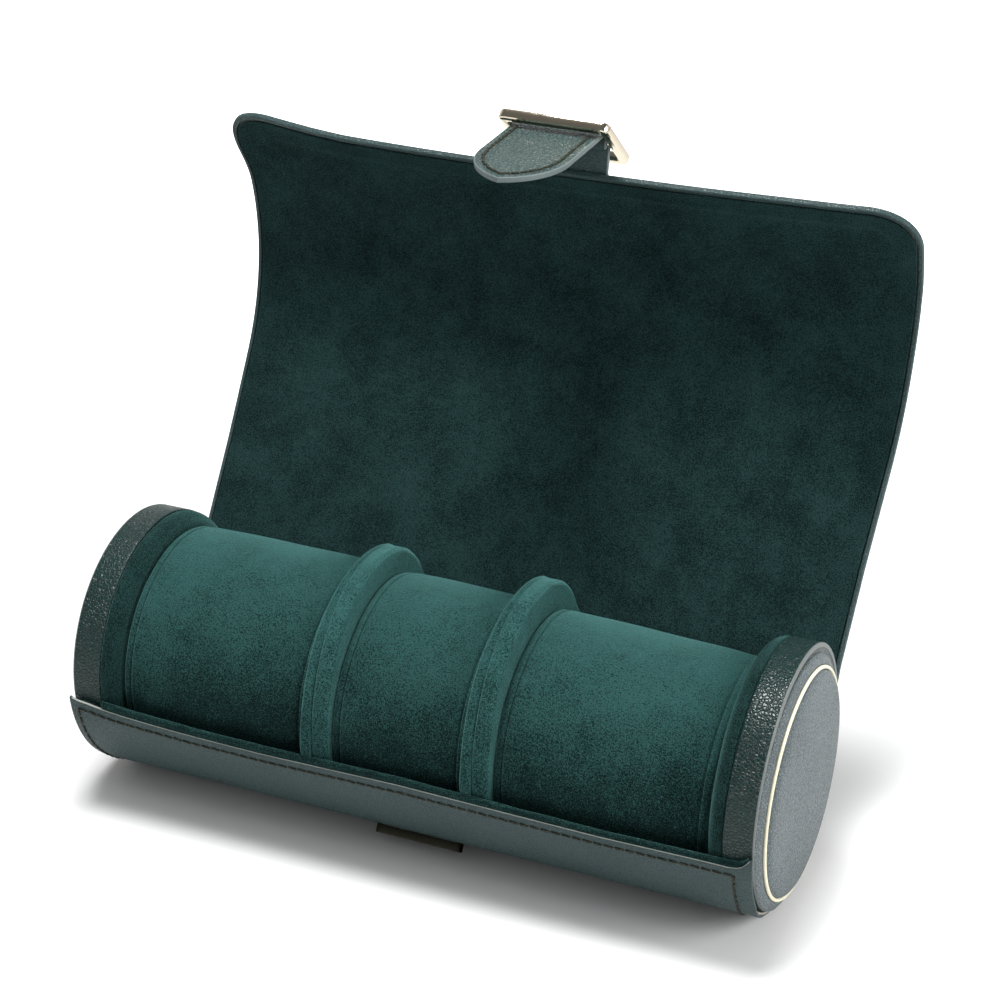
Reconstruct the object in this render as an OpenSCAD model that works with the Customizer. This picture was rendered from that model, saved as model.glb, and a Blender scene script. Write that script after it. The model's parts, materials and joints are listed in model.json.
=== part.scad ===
// Leather watch roll for three watches, standing open with its flap up.
// X runs along the roll, +Y points to the back, +Z up. The origin is on the
// surface the case stands on, straight below the axis of the roll. Millimetres.

/* [Roll] */
// Diameter of the two round ends
cap_d = 100; // [98:1:102]
// Length over the rims of the two ends
roll_len = 275; // [270:1:285]
// Width of the leather that wraps the roll and makes the flap
wrap_w = 277; // [276:1:290]

/* [Wall] */
// Thickness of the outer leather
leather_t = 1.2; // [1.0:0.1:1.4]
// Thickness of the stiffening board between leather and lining
board_t = 0.8; // [0.6:0.1:1.0]
// Thickness of the suede lining
lining_t = 0.7; // [0.5:0.1:0.9]

/* [Tray] */
// Angle of the tray's front edge, counted from the back over the top
front_deg = 188; // [184:1:192]
// Angle of the line where the flap bends away from the tray
hinge_deg = 11; // [9:1:13]
// Depth of the flat that the case stands on
flat_cut = 0.5; // [0.3:0.1:0.8]
// How far behind the axis the heel reaches that keeps the open case upright
heel_y = 19; // [18:0.5:20]

/* [Flap] */
// Lean of the flap's straight lower part, back from upright
flap_lean = 37; // [30:1:40]
// Length of the straight lower part
flap_straight = 84; // [82:1:88]
// Radius of the curl of the upper part
flap_r = 90; // [88:1:95]
// Length of the curled upper part
flap_curl = 106.8; // [104:0.1:108]
// Radius of the two free corners
corner_r = 20; // [14:1:24]

/* [Ends] */
// Width of the leather band round each end
band_w = 11.3; // [10:0.1:12.5]
// Radius of the light piping ring on the outer face
ring_r = 45.6; // [44:0.1:46.2]
// Thickness of the piping cord
ring_t = 1.8; // [1.4:0.1:2.0]

/* [Dividers] */
// Distance of each divider's centre from the middle of the roll
divider_x = 32.5; // [31:0.5:34]
// Thickness of a padded divider
divider_t = 13; // [11:0.5:14]
// How far the dividers stand up above the roll's axis line
divider_up = 2.8; // [2:0.1:3]

/* [Cushions] */
// Radius of a cushion at the middle of its crown
crown_r = 46.5; // [45:0.1:47]
// Radius of a cushion at its drawn-in ends
cushion_end_r = 44; // [43:0.1:44.5]
// Gap between a cushion's end and its neighbour
cushion_gap = 1; // [0.6:0.1:1.5]

/* [Closure] */
// Width of the strap and the tongue
strap_w = 36; // [34:0.5:36.5]
// Thickness of the tongue
tongue_t = 2.2; // [1.8:0.1:2.4]
// Width of the buckle's frame
buckle_w = 45; // [44:0.5:46]
// Height of the buckle's frame
buckle_h = 34; // [33:0.5:35]
// Clear width of the keeper that the tongue is tucked into
keeper_w = 37.3; // [36.8:0.1:38]
// Angle at which the keeper sits on the front of the tray
keeper_deg = 235; // [230:1:238]

/* [Hidden] */
$fn = 96;
// circles of a very large radius need finer steps
fine = 1440;
cap_r = cap_d / 2;
lining_r = cap_r + lining_t;
board_r = lining_r + board_t;
skin_r = board_r + leather_t;
wall_t = lining_t + board_t + leather_t;
axis_h = skin_r - flat_cut;
end_x = roll_len / 2;
band_x = end_x - band_w;
far = 200;

// edges of the wall's layers
board_back = 3;
lip_t = 1;
turn_in = 3;
edge_in = 1.5;

// the heel: where it leaves the round wall, and the strip's thin front edge
heel_deg = -52;
heel_start = 9;
heel_sink = 0.5;
heel_past = 0.2;

// flap strips, from the tray to the free edge
bend_len = 31;
flap_lens = [flap_straight - 2 * bend_len, bend_len, bend_len, flap_curl / 3, flap_curl / 3, flap_curl / 3];
close_deg = [42.7, 45.2, 27.1, 26, 10.2, 11.5];
strips = len(flap_lens);
strip_gap = 0.12;
mitre_play = 1.5;
hinge_play = 5;
gate_out = 3;
gate_in = 6;
gate_wide = 60;
corner_depth = 30;
end_slack = 1;

// end caps, measured outward from the rim's edge and across the radius
shoulder_w = 7.2;
shoulder_in = 6;
rim_t = 1.2;
rim_round = 0.8;
groove_w = 0.8;
face_rise = 3.2;
face_round = 3;
face_t = 1.4;
dome_rise = 1.2;
dome_steps = 8;
ring_play = 0.03;

// dividers
divider_round = 5;
divider_seam = 3;
divider_board_t = 2;
divider_board_in = 4;
divider_slack = 0.3;
divider_fwd = 1;
divider_shelf = 5;
divider_side_round = 3;
seam_round = 0.8;

// cushions
cover_t = 1.2;
cushion_round = 3;
seam_r = 0.6;
welt_w = 3;
side_x0 = divider_x + divider_t / 2 + cushion_gap;
side_x1 = band_x - shoulder_w - cushion_gap;
side_half = (side_x1 - side_x0) / 2;
side_x = (side_x1 + side_x0) / 2;
middle_half = divider_x - divider_t / 2 - cushion_gap;

// buckle, strap and tongue
bar_off = [1.141, 12.554];
bar_d = 2.5;
bar_play = 0.06;
bar_fit = 0.02;
bar_recess = 0.5;
frame_deg = 139;
frame_t = 4;
frame_end = 4.5;
frame_side = 3.5;
frame_round = 4;
frame_bevel = 1;
chape_t = 2;
chape_len = 30;
tongue_lift = 4.8;
tongue_back = 1.5;
tongue_split = 39.7;
tongue_end = 65.3;
tongue_arc_r = 24;
tongue_gap = 0.12;
tongue_mitre = 11;

// keeper
keeper_h = 3.7;
keeper_t = 1.1;
keeper_gap = 2.4;
keeper_play = 0.1;

leather_green = [0.15, 0.22, 0.22];
suede_green = [0.10, 0.27, 0.25];
lining_green = [0.08, 0.20, 0.19];
board_grey = [0.55, 0.52, 0.46];
foam_white = [0.86, 0.85, 0.80];
wood_tan = [0.72, 0.58, 0.40];
ring_cream = [0.91, 0.87, 0.70];
gold = [0.83, 0.74, 0.56];
bronze = [0.22, 0.22, 0.18];

// ---- helpers ----

// turns a Y-Z outline into a bar along X, centred on the roll
module along_x(length) {
    translate([0, 0, axis_h]) rotate([90, 0, 90]) linear_extrude(length, center = true) children();
}

// spins an outline about the roll's axis: first coordinate radius, second X
module about_x() {
    translate([0, 0, axis_h]) rotate([0, 90, 0]) rotate_extrude() children();
}

module ring(r0, r1) {
    difference() {
        circle(r1);
        circle(r0);
    }
}

function polar(r, a) = [r * cos(a), r * sin(a)];

module sector(a0, a1) {
    polygon(concat([[0, 0]], [for (i = [0:4]) polar(far, a0 + (a1 - a0) * i / 4)]));
}

// ---- tray ----

// outline of the heel, set in by t and carried on past its corner by a share of its length
module heel_outline(t, past) {
    top = polar(skin_r - t - heel_sink, heel_deg);
    corner = [heel_y - t / 2, t - axis_h];
    foot = corner + past * (corner - top);
    polygon([[0, 0], top, foot, [0, foot[1]]]);
}

// what the leather goes round: the board and the heel, but not the lip at the front edge
module inside_leather() {
    along_x(far * 2) circle(cap_r);
    difference() {
        union() {
            along_x(far * 2) circle(board_r);
            along_x(far * 2) heel_outline(leather_t, 0);
        }
        along_x(far * 2) sector(front_deg, front_deg + lip_t);
    }
}

module tray_leather() {
    color(leather_green) difference() {
        union() {
            along_x(wrap_w) circle(skin_r);
            along_x(wrap_w) heel_outline(0, heel_past);
        }
        inside_leather();
        along_x(far * 2) sector(hinge_deg, front_deg);
        translate([-far, -far / 2, -far]) cube([2 * far, far, far]);
        for (side = [-1, 1]) keeper_leg(side, keeper_play);
    }
}

module tray_layer(r0, r1, width, back) {
    along_x(width) difference() {
        ring(r0, r1);
        sector(hinge_deg - back, front_deg + lip_t);
    }
}

module tray_board() {
    color(board_grey) tray_layer(lining_r, board_r, wrap_w - 2 * turn_in, board_back);
}

module tray_lining() {
    color(lining_green) tray_layer(cap_r, lining_r, wrap_w - 2 * edge_in, 0);
}

module heel_strip() {
    color(board_grey) along_x(wrap_w - 2 * turn_in) difference() {
        intersection() {
            heel_outline(leather_t, 0);
            translate([heel_start, -axis_h]) square([far, axis_h]);
        }
        circle(board_r, $fn = fine);
    }
}

// one leg of the keeper, from the board out to the bar
module keeper_leg(side, play) {
    foot = board_r - play;
    out = skin_r + keeper_gap + keeper_t;
    translate([side * (keeper_w + keeper_t) / 2, 0, axis_h])
        rotate([keeper_deg, 0, 0])
            translate([-keeper_t / 2 - play, foot, -keeper_h / 2 - play])
                cube([keeper_t + 2 * play, out - foot, keeper_h + 2 * play]);
}

module keeper_bar() {
    color(bronze) union() {
        translate([0, 0, axis_h])
            rotate([keeper_deg, 0, 0])
                translate([-keeper_w / 2 - keeper_t, skin_r + keeper_gap, -keeper_h / 2])
                    cube([keeper_w + 2 * keeper_t, keeper_t, keeper_h]);
        for (side = [-1, 1]) keeper_leg(side, 0);
    }
}

// ---- round ends, drawn on the right ----

// soft suede facing with a rounded shoulder, towards the cushions
module end_facing() {
    color(suede_green) about_x() {
        translate([0, band_x - shoulder_w]) square([cap_r - shoulder_in, shoulder_w]);
        intersection() {
            translate([cap_r - shoulder_in, band_x]) circle(shoulder_in);
            translate([0, band_x - shoulder_in]) square([cap_r, shoulder_in]);
        }
    }
}

module end_core() {
    color(wood_tan) about_x() translate([0, band_x]) square([cap_r - rim_t, band_w]);
}

// leather band round the core, with its outer edge rounded over
module end_rim() {
    color(leather_green) about_x() difference() {
        union() {
            translate([cap_r - rim_t, band_x]) square([rim_t, band_w - rim_round]);
            translate([cap_r - rim_t, band_x]) square([rim_t - rim_round, band_w]);
            translate([cap_r - rim_round, end_x - rim_round]) circle(rim_round);
        }
        square([cap_r - rim_t, far]);
    }
}

// outline of the domed outer face, grown inward by t
module face_outline(t) {
    r = cap_r - groove_w - t;
    top = end_x + face_rise - t;
    bend = face_round - t;
    flat_r = r - bend;
    polygon(concat(
        [[0, end_x], [r, end_x], [r, top - bend]],
        [for (i = [dome_steps:-1:0]) [flat_r * i / dome_steps, top + dome_rise * (1 - pow(i / dome_steps, 2))]]
    ));
    intersection() {
        translate([flat_r, top - bend]) circle(bend);
        translate([0, end_x]) square([r, face_rise]);
    }
}

module ring_seat(play) {
    translate([ring_r, end_x + face_rise]) circle(ring_t / 2 + play);
}

module end_pad() {
    color(foam_white) about_x() face_outline(face_t);
}

module end_face() {
    color(leather_green) about_x() difference() {
        face_outline(0);
        face_outline(face_t);
        ring_seat(ring_play);
    }
}

module end_piping() {
    color(ring_cream) about_x() ring_seat(0);
}

// ---- dividers, drawn round X = 0 ----

// outline of one padded part between two X positions, rounded at the rim
module pad_outline(r, x0, x1, round0, round1) {
    edge = max(round0, round1);
    intersection() {
        union() {
            translate([0, x0]) square([r - edge, x1 - x0]);
            translate([0, x0 + round0]) square([r, x1 - x0 - round0 - round1]);
            translate([r - edge, x0 + round0]) circle(edge);
            translate([r - edge, x1 - round1]) circle(edge);
        }
        translate([0, x0]) square([r, x1 - x0]);
    }
}

// a divider fills the tray below and stands a little higher than the roll above
module divider_part(inset, x0, x1, round0, round1) {
    low = cap_r - divider_slack;
    shelf = axis_h - divider_shelf;
    intersection() {
        about_x() pad_outline(low - inset, x0, x1, round0, round1);
        translate([-far, -far, 0]) cube([2 * far, 2 * far, axis_h]);
    }
    intersection() {
        translate([0, -divider_fwd, divider_up])
            about_x() pad_outline(low - inset, x0, x1, round0, round1);
        translate([-far, -far, shelf]) cube([2 * far, 2 * far, far]);
        union() {
            about_x() translate([0, -far / 2]) square([low, far]);
            translate([-far, -far, axis_h]) cube([2 * far, 2 * far, far]);
        }
    }
}

module divider_board() {
    color(board_grey)
        divider_part(divider_board_in, -divider_board_t / 2, divider_board_t / 2, 0, 0);
}

module divider_main_pad() {
    color(suede_green) difference() {
        divider_part(0, -divider_seam, divider_t / 2, seam_round, divider_round);
        divider_board();
    }
}

module divider_side_pad() {
    color(suede_green)
        divider_part(0, -divider_t / 2, -divider_seam, divider_side_round, seam_round);
}

// ---- cushions, drawn round X = 0 ----

// half outline of a cushion: crowned along its length, drawn in at its ends
module cushion_outline(half, crown, end_r) {
    flat = half - cushion_round;
    sag = crown - end_r;
    bow_r = (pow(flat, 2) + pow(sag, 2)) / (2 * sag);
    translate([0, -half]) square([end_r - cushion_round, 2 * half]);
    intersection() {
        translate([crown - bow_r, 0]) circle(bow_r, $fn = fine);
        translate([0, -flat]) square([crown, 2 * flat]);
    }
    for (side = [-1, 1]) translate([end_r - cushion_round, side * flat]) circle(cushion_round);
}

module cushion_core_outline(half) {
    cushion_outline(half - cover_t, crown_r - cover_t, cushion_end_r - cover_t);
}

module cushion_end_outline(half) {
    for (side = [0, 1]) mirror([0, side])
        translate([0, half - cover_t]) square([cushion_end_r - cushion_round, cover_t]);
}

module cushion_core(half) {
    color(foam_white) about_x() cushion_core_outline(half);
}

module cushion_cover(half) {
    color(suede_green) about_x() difference() {
        cushion_outline(half, crown_r, cushion_end_r);
        cushion_core_outline(half);
        cushion_end_outline(half);
        for (side = [-1, 1], x = [cushion_round, cushion_round + welt_w])
            translate([cushion_end_r, side * (half - x)]) circle(seam_r);
    }
}

module cushion_ends(half) {
    color(suede_green) about_x() cushion_end_outline(half);
}

// ---- flap: a row of strips that bend at their outer leather face ----

// where the flap starts, and its direction there
flap_start = polar(skin_r, hinge_deg);
flap_dir = [sin(flap_lean), cos(flap_lean)];
flap_in = [-cos(flap_lean), sin(flap_lean)];
curl_centre = flap_start + flap_straight * flap_dir + flap_r * flap_in;
flap_len = flap_straight + flap_curl;

function lean_at(s) = flap_lean - max(0, s - flap_straight) / flap_r * 180 / PI;
function dir_at(s) = [sin(lean_at(s)), cos(lean_at(s))];
function in_at(s) = [-cos(lean_at(s)), sin(lean_at(s))];
function flap_at(s) = s <= flap_straight ? flap_start + s * flap_dir : curl_centre - flap_r * in_at(s);
function joint_s(k) = k == 0 ? 0 : joint_s(k - 1) + flap_lens[k - 1];

// point beside the flap's line: shift along it, depth inward from the leather
function beside(s, shift, depth) = flap_at(s) + shift * dir_at(s) + depth * in_at(s);

// one layer of the flap between two depths, straight below and curled above
module flap_layer(depth0, depth1) {
    polygon([
        beside(0, 0, depth0), beside(flap_straight, 0, depth0),
        beside(flap_straight, 0, depth1), beside(0, 0, depth1)
    ]);
    intersection() {
        translate(curl_centre) ring(flap_r - depth1, flap_r - depth0);
        polygon([
            curl_centre,
            beside(flap_straight, 0, -gate_in), beside(flap_straight, gate_wide, -gate_in),
            beside(flap_len, -gate_wide, -gate_in), beside(flap_len, 2 * end_slack, -gate_in)
        ]);
    }
}

function bend_cut(k) = k == 0 || k == strips ? 0 : tan(close_deg[k] / 2 + mitre_play);

// the stretch between two bends, with both ends cut back so the inside can close
module flap_gate(k, start, end) {
    s0 = joint_s(k - 1);
    s1 = joint_s(k);
    cut0 = bend_cut(k - 1);
    cut1 = bend_cut(k);
    polygon([
        beside(s0, start - cut0 * gate_out, -gate_out),
        beside(s0, start + cut0 * gate_in, gate_in),
        beside(s1, -end - cut1 * gate_in, gate_in),
        beside(s1, -end + cut1 * gate_out, -gate_out)
    ]);
}

// turns X-Y drawings so that Y runs along the flap and Z points inward
module on_flap(s) {
    spot = flap_at(s);
    translate([0, spot[0], spot[1] + axis_h]) rotate([90 - lean_at(s), 0, 0]) children();
}

// the sheet's free end seen flat, with its two rounded corners, set in all round
module free_end(inset) {
    half = wrap_w / 2;
    r = corner_r - inset;
    on_flap(flap_len) linear_extrude(corner_depth, center = true) {
        translate([corner_r - half, -far]) square([2 * (half - corner_r), far - inset]);
        translate([inset - half, -far]) square([2 * (half - inset), far - corner_r]);
        for (side = [-1, 1]) translate([side * (half - corner_r), -corner_r]) circle(r);
    }
}

module flap_strip(k, depth0, depth1, start, inset) {
    if (k == strips) intersection() {
        along_x(wrap_w + far) intersection() {
            flap_layer(depth0, depth1);
            flap_gate(k, start, -end_slack);
        }
        free_end(inset);
    } else along_x(wrap_w - 2 * inset) intersection() {
        flap_layer(depth0, depth1);
        flap_gate(k, start, strip_gap);
    }
}

module flap_leather(k) {
    color(leather_green) flap_strip(k, 0, leather_t, strip_gap, 0);
}

module flap_board(k) {
    start = k == 1 ? hinge_play : strip_gap;
    color(board_grey) flap_strip(k, leather_t, leather_t + board_t, start, turn_in);
}

module flap_lining(k) {
    start = k == 1 ? hinge_play : strip_gap;
    color(lining_green) flap_strip(k, leather_t + board_t, wall_t, start, edge_in);
}

// ---- strap, buckle and tongue ----

bar_at = flap_at(flap_len) + bar_off;
bar_y = bar_at[0];
bar_z = bar_at[1];

// strap end on the outside of the flap, looped round the buckle's bar
module strap_chape() {
    loop_r = bar_d / 2 + bar_play + chape_t;
    s0 = flap_len - chape_len;
    color(leather_green) along_x(strap_w) difference() {
        union() {
            intersection() {
                translate(curl_centre) ring(flap_r, flap_r + chape_t);
                polygon([
                    curl_centre, beside(s0, 0, -gate_in), beside((s0 + flap_len) / 2, 0, -gate_in),
                    beside(flap_len, 0, -gate_in)
                ]);
            }
            polygon([
                beside(flap_len, 0, 0), beside(flap_len, 0, -chape_t),
                bar_at + [loop_r, 0], bar_at - [loop_r, 0]
            ]);
            translate(bar_at) circle(loop_r);
        }
        translate(bar_at) circle(bar_d / 2 + bar_play);
    }
}

tongue_mid_z = bar_z + tongue_lift;
tongue_joint_y = bar_y - tongue_split;
tongue_end_y = bar_y - tongue_end;

module tongue_root() {
    top = tongue_mid_z + tongue_t / 2;
    back = tongue_t * tan(tongue_mitre);
    color(leather_green) along_x(strap_w) polygon([
        [bar_y + tongue_back, top], [tongue_joint_y + tongue_gap, top],
        [tongue_joint_y + tongue_gap + back, top - tongue_t], [bar_y + tongue_back, top - tongue_t]
    ]);
}

// outline seen from above: straight sides, then two arcs that meet in a point
module tongue_plan() {
    off = tongue_arc_r - strap_w / 2;
    arc_y = tongue_end_y + sqrt(pow(tongue_arc_r, 2) - pow(off, 2));
    translate([-strap_w / 2, arc_y]) square([strap_w, tongue_joint_y - arc_y + far]);
    intersection() {
        translate([-off, arc_y]) circle(tongue_arc_r);
        translate([off, arc_y]) circle(tongue_arc_r);
        translate([-strap_w / 2, tongue_end_y]) square([strap_w, arc_y - tongue_end_y]);
    }
}

module tongue_tip() {
    top = tongue_mid_z + tongue_t / 2;
    back = tongue_t * tan(tongue_mitre);
    color(leather_green) intersection() {
        translate([0, 0, axis_h + top - tongue_t]) linear_extrude(tongue_t) tongue_plan();
        along_x(strap_w) polygon([
            [tongue_joint_y - tongue_gap, top], [tongue_end_y, top],
            [tongue_end_y, top - tongue_t], [tongue_joint_y - tongue_gap - back, top - tongue_t]
        ]);
    }
}

// turns X-Y drawings into the plane of the buckle, centred on its bar
module on_buckle() {
    translate([0, bar_y, bar_z + axis_h]) rotate([frame_deg, 0, 0]) children();
}

module rounded_rect(w, h, r) {
    square([w - 2 * r, h], center = true);
    square([w, h - 2 * r], center = true);
    for (x = [-1, 1], y = [-1, 1]) translate([x * (w / 2 - r), y * (h / 2 - r)]) circle(r);
}

// long bar outline with its four edges bevelled
module bevelled(w, t, b) {
    polygon([
        [-w / 2, -t / 2 + b], [-w / 2 + b, -t / 2], [w / 2 - b, -t / 2], [w / 2, -t / 2 + b],
        [w / 2, t / 2 - b], [w / 2 - b, t / 2], [-w / 2 + b, t / 2], [-w / 2, t / 2 - b]
    ]);
}

module buckle_frame() {
    color(gold) on_buckle() difference() {
        intersection() {
            linear_extrude(frame_t, center = true) rounded_rect(buckle_w, buckle_h, frame_round);
            rotate([90, 0, 90]) linear_extrude(buckle_w, center = true)
                bevelled(buckle_h, frame_t, frame_bevel);
            rotate([90, 0, 0]) linear_extrude(buckle_h, center = true)
                bevelled(buckle_w, frame_t, frame_bevel);
        }
        cube([buckle_w - 2 * frame_side, buckle_h - 2 * frame_end, far], center = true);
        rotate([0, 90, 0]) cylinder(h = far, d = bar_d + 2 * bar_fit, center = true);
    }
}

module buckle_bar() {
    color(gold) on_buckle() rotate([0, 90, 0])
        cylinder(h = buckle_w - 2 * bar_recess, d = bar_d, center = true);
}

// ---- the pieces ----

module at_x(x) {
    translate([x, 0, 0]) children();
}

tray_leather();
tray_board();
tray_lining();
heel_strip();
keeper_bar();
mirror([1, 0, 0]) end_facing();  // left_end_facing
mirror([1, 0, 0]) end_core();  // left_end_core
mirror([1, 0, 0]) end_rim();  // left_end_rim
mirror([1, 0, 0]) end_pad();  // left_end_pad
mirror([1, 0, 0]) end_face();  // left_end_face
mirror([1, 0, 0]) end_piping();  // left_end_piping
end_facing();  // right_end_facing
end_core();  // right_end_core
end_rim();  // right_end_rim
end_pad();  // right_end_pad
end_face();  // right_end_face
end_piping();  // right_end_piping
at_x(-divider_x) divider_board();  // left_divider_board
at_x(-divider_x) divider_main_pad();  // left_divider_main_pad
at_x(-divider_x) divider_side_pad();  // left_divider_side_pad
at_x(divider_x) divider_board();  // right_divider_board
at_x(divider_x) divider_main_pad();  // right_divider_main_pad
at_x(divider_x) divider_side_pad();  // right_divider_side_pad
at_x(-side_x) cushion_core(side_half);  // left_cushion_core
at_x(-side_x) cushion_cover(side_half);  // left_cushion_cover
at_x(-side_x) cushion_ends(side_half);  // left_cushion_ends
at_x(0) cushion_core(middle_half);  // middle_cushion_core
at_x(0) cushion_cover(middle_half);  // middle_cushion_cover
at_x(0) cushion_ends(middle_half);  // middle_cushion_ends
at_x(side_x) cushion_core(side_half);  // right_cushion_core
at_x(side_x) cushion_cover(side_half);  // right_cushion_cover
at_x(side_x) cushion_ends(side_half);  // right_cushion_ends
flap_leather(1);  // flap_leather_1
flap_leather(2);  // flap_leather_2
flap_leather(3);  // flap_leather_3
flap_leather(4);  // flap_leather_4
flap_leather(5);  // flap_leather_5
flap_leather(6);  // flap_leather_6
flap_board(1);  // flap_board_1
flap_board(2);  // flap_board_2
flap_board(3);  // flap_board_3
flap_board(4);  // flap_board_4
flap_board(5);  // flap_board_5
flap_board(6);  // flap_board_6
flap_lining(1);  // flap_lining_1
flap_lining(2);  // flap_lining_2
flap_lining(3);  // flap_lining_3
flap_lining(4);  // flap_lining_4
flap_lining(5);  // flap_lining_5
flap_lining(6);  // flap_lining_6
strap_chape();
tongue_root();
tongue_tip();
buckle_frame();
buckle_bar();
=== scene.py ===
"""Leather watch roll, standing open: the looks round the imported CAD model.

Pieces are drawn in millimetres from the roll's own axis, with X along the roll, Y to the back and
Z up. Leather and suede sheets are cut flat first (X across, Y along the sheet from the flap's
fold, Z into the roll) and then bent to their line.
"""

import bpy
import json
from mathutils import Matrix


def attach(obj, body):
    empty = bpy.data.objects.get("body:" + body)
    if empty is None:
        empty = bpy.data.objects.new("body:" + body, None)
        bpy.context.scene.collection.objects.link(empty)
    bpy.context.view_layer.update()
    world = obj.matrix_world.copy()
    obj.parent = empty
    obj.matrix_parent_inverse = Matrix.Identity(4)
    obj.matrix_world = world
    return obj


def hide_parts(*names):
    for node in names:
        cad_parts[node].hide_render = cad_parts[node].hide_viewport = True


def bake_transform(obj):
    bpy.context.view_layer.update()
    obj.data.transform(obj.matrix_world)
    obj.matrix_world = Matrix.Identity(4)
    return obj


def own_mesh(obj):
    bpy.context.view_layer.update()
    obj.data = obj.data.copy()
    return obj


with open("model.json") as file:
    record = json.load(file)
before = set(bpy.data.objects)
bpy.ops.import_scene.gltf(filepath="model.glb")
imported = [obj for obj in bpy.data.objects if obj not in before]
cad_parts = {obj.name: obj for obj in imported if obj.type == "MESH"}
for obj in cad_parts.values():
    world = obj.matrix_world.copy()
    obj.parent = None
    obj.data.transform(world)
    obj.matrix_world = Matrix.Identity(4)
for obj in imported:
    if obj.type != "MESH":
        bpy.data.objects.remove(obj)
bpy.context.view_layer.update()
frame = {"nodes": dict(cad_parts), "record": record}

import json
import math

import bmesh
import bpy
import numpy as np
from mathutils import Matrix, Vector, noise

MM = 0.001
AXIS_H = 52.2
TURN = 2 * math.pi
SIDES = (("left", -1), ("right", 1))

# the roll and its wall, from the CAD
SKIN_R = 52.7
LEATHER = 1.2
BOARD = 0.8
LINING = 0.7
WALL = LEATHER + BOARD + LINING
HALF_W = 138.5
END_X = 137.5
BAND_X = 126.2
HINGE = math.radians(11)
FRONT = math.radians(188)


# ------ finishes

class Value:
    """A shader socket that takes part in plain arithmetic."""

    def __init__(self, finish, socket):
        self.finish = finish
        self.socket = socket

    def math(self, operation, *others):
        return self.finish.node("ShaderNodeMath", {"operation": operation}, [self, *others])

    def __add__(self, other):
        return self.math("ADD", other)

    def __sub__(self, other):
        return self.math("SUBTRACT", other)

    def __rsub__(self, other):
        return self.finish.node("ShaderNodeMath", {"operation": "SUBTRACT"}, [other, self])

    def __mul__(self, other):
        return self.math("MULTIPLY", other)

    __radd__ = __add__
    __rmul__ = __mul__

    def within(self, low, high):
        """How far the value has gone from low to high, from 0 to 1."""
        return self.finish.node(
            "ShaderNodeMapRange", {"interpolation_type": "SMOOTHSTEP"}, [self, low, high, 0, 1])


class Finish:
    """One procedural material and the nodes that make it."""

    def __init__(self, name, place="object"):
        self.material = bpy.data.materials.new(name)
        self.material.use_nodes = True
        self.tree = self.material.node_tree
        self.tree.nodes.clear()
        self.output = self.tree.nodes.new("ShaderNodeOutputMaterial")
        if place == "flat":
            self.place = self.node("ShaderNodeAttribute", {"attribute_name": "flat"}, {}, "Vector")
        else:
            self.place = self.node("ShaderNodeTexCoord", {}, {}, "Object")

    def node(self, kind, settings, sockets, out=0):
        """Adds a node: its settings first, then values or links for its sockets."""
        made = self.tree.nodes.new(kind)
        for key, setting in settings.items():
            setattr(made, key, setting)
        pairs = sockets.items() if isinstance(sockets, dict) else enumerate(sockets)
        for key, given in pairs:
            socket = made.inputs[key]
            if isinstance(given, Value):
                self.tree.links.new(given.socket, socket)
            elif isinstance(given, tuple) and len(given) == 3 and socket.type == "RGBA":
                socket.default_value = (*given, 1)
            else:
                socket.default_value = given
        return Value(self, made.outputs[out])

    def noise(self, size, detail=2, rough=0.5, place=None, out=0):
        """Soft noise whose lumps are about size millimetres across."""
        return self.node(
            "ShaderNodeTexNoise", {},
            {"Vector": place or self.place, "Scale": 1 / (size * MM), "Detail": detail,
             "Roughness": rough}, out)

    def cells(self, size, feature, place):
        """Cells about size millimetres across."""
        return self.node("ShaderNodeTexVoronoi", {"feature": feature},
                         {"Vector": place, "Scale": 1 / (size * MM)}, "Distance")

    def vector(self, operation, *given, out=0):
        """Arithmetic on whole vectors."""
        return self.node("ShaderNodeVectorMath", {"operation": operation}, given, out)

    def stretched(self, x, y, z):
        """The pattern's place with each direction scaled by its own number."""
        return self.vector("MULTIPLY", self.place, (x, y, z))

    def shaken(self, size, amount):
        """The pattern's place, pushed about so that no pattern looks drawn."""
        push = self.vector("SUBTRACT", self.noise(size, 1, out="Color"), (0.5, 0.5, 0.5))
        return self.vector("ADD", self.place, self.vector("MULTIPLY", push, (amount * MM,) * 3))

    def along(self, letter):
        """The pattern's place along one direction."""
        return self.node("ShaderNodeSeparateXYZ", {}, [self.place], letter)

    def ray(self, kind):
        """1 for one kind of ray and 0 for all others."""
        return self.node("ShaderNodeLightPath", {}, {}, f"Is {kind} Ray")

    def mix(self, share, first, second):
        """A colour between two colours."""
        return self.node("ShaderNodeMix", {"data_type": "RGBA"},
                         {0: share, 6: first, 7: second}, 2)

    def bump(self, height, depth, strength=1.0):
        """A normal from a height of 0 to 1 that stands for depth millimetres."""
        return self.node("ShaderNodeBump", {},
                         {"Height": height, "Distance": depth * MM, "Strength": strength})

    def surface(self, **sockets):
        """The shader itself. Underscores in names stand for spaces."""
        named = {key.replace("_", " "): given for key, given in sockets.items()}
        shader = self.node("ShaderNodeBsdfPrincipled", {}, named)
        self.tree.links.new(shader.socket, self.output.inputs["Surface"])
        return self.material


# heights in metres between which suede with painted low shade gets lighter upwards: painted shade,
# darker towards the bottom
LOW_SHADE_HEIGHTS = (0.030, 0.098)


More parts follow.
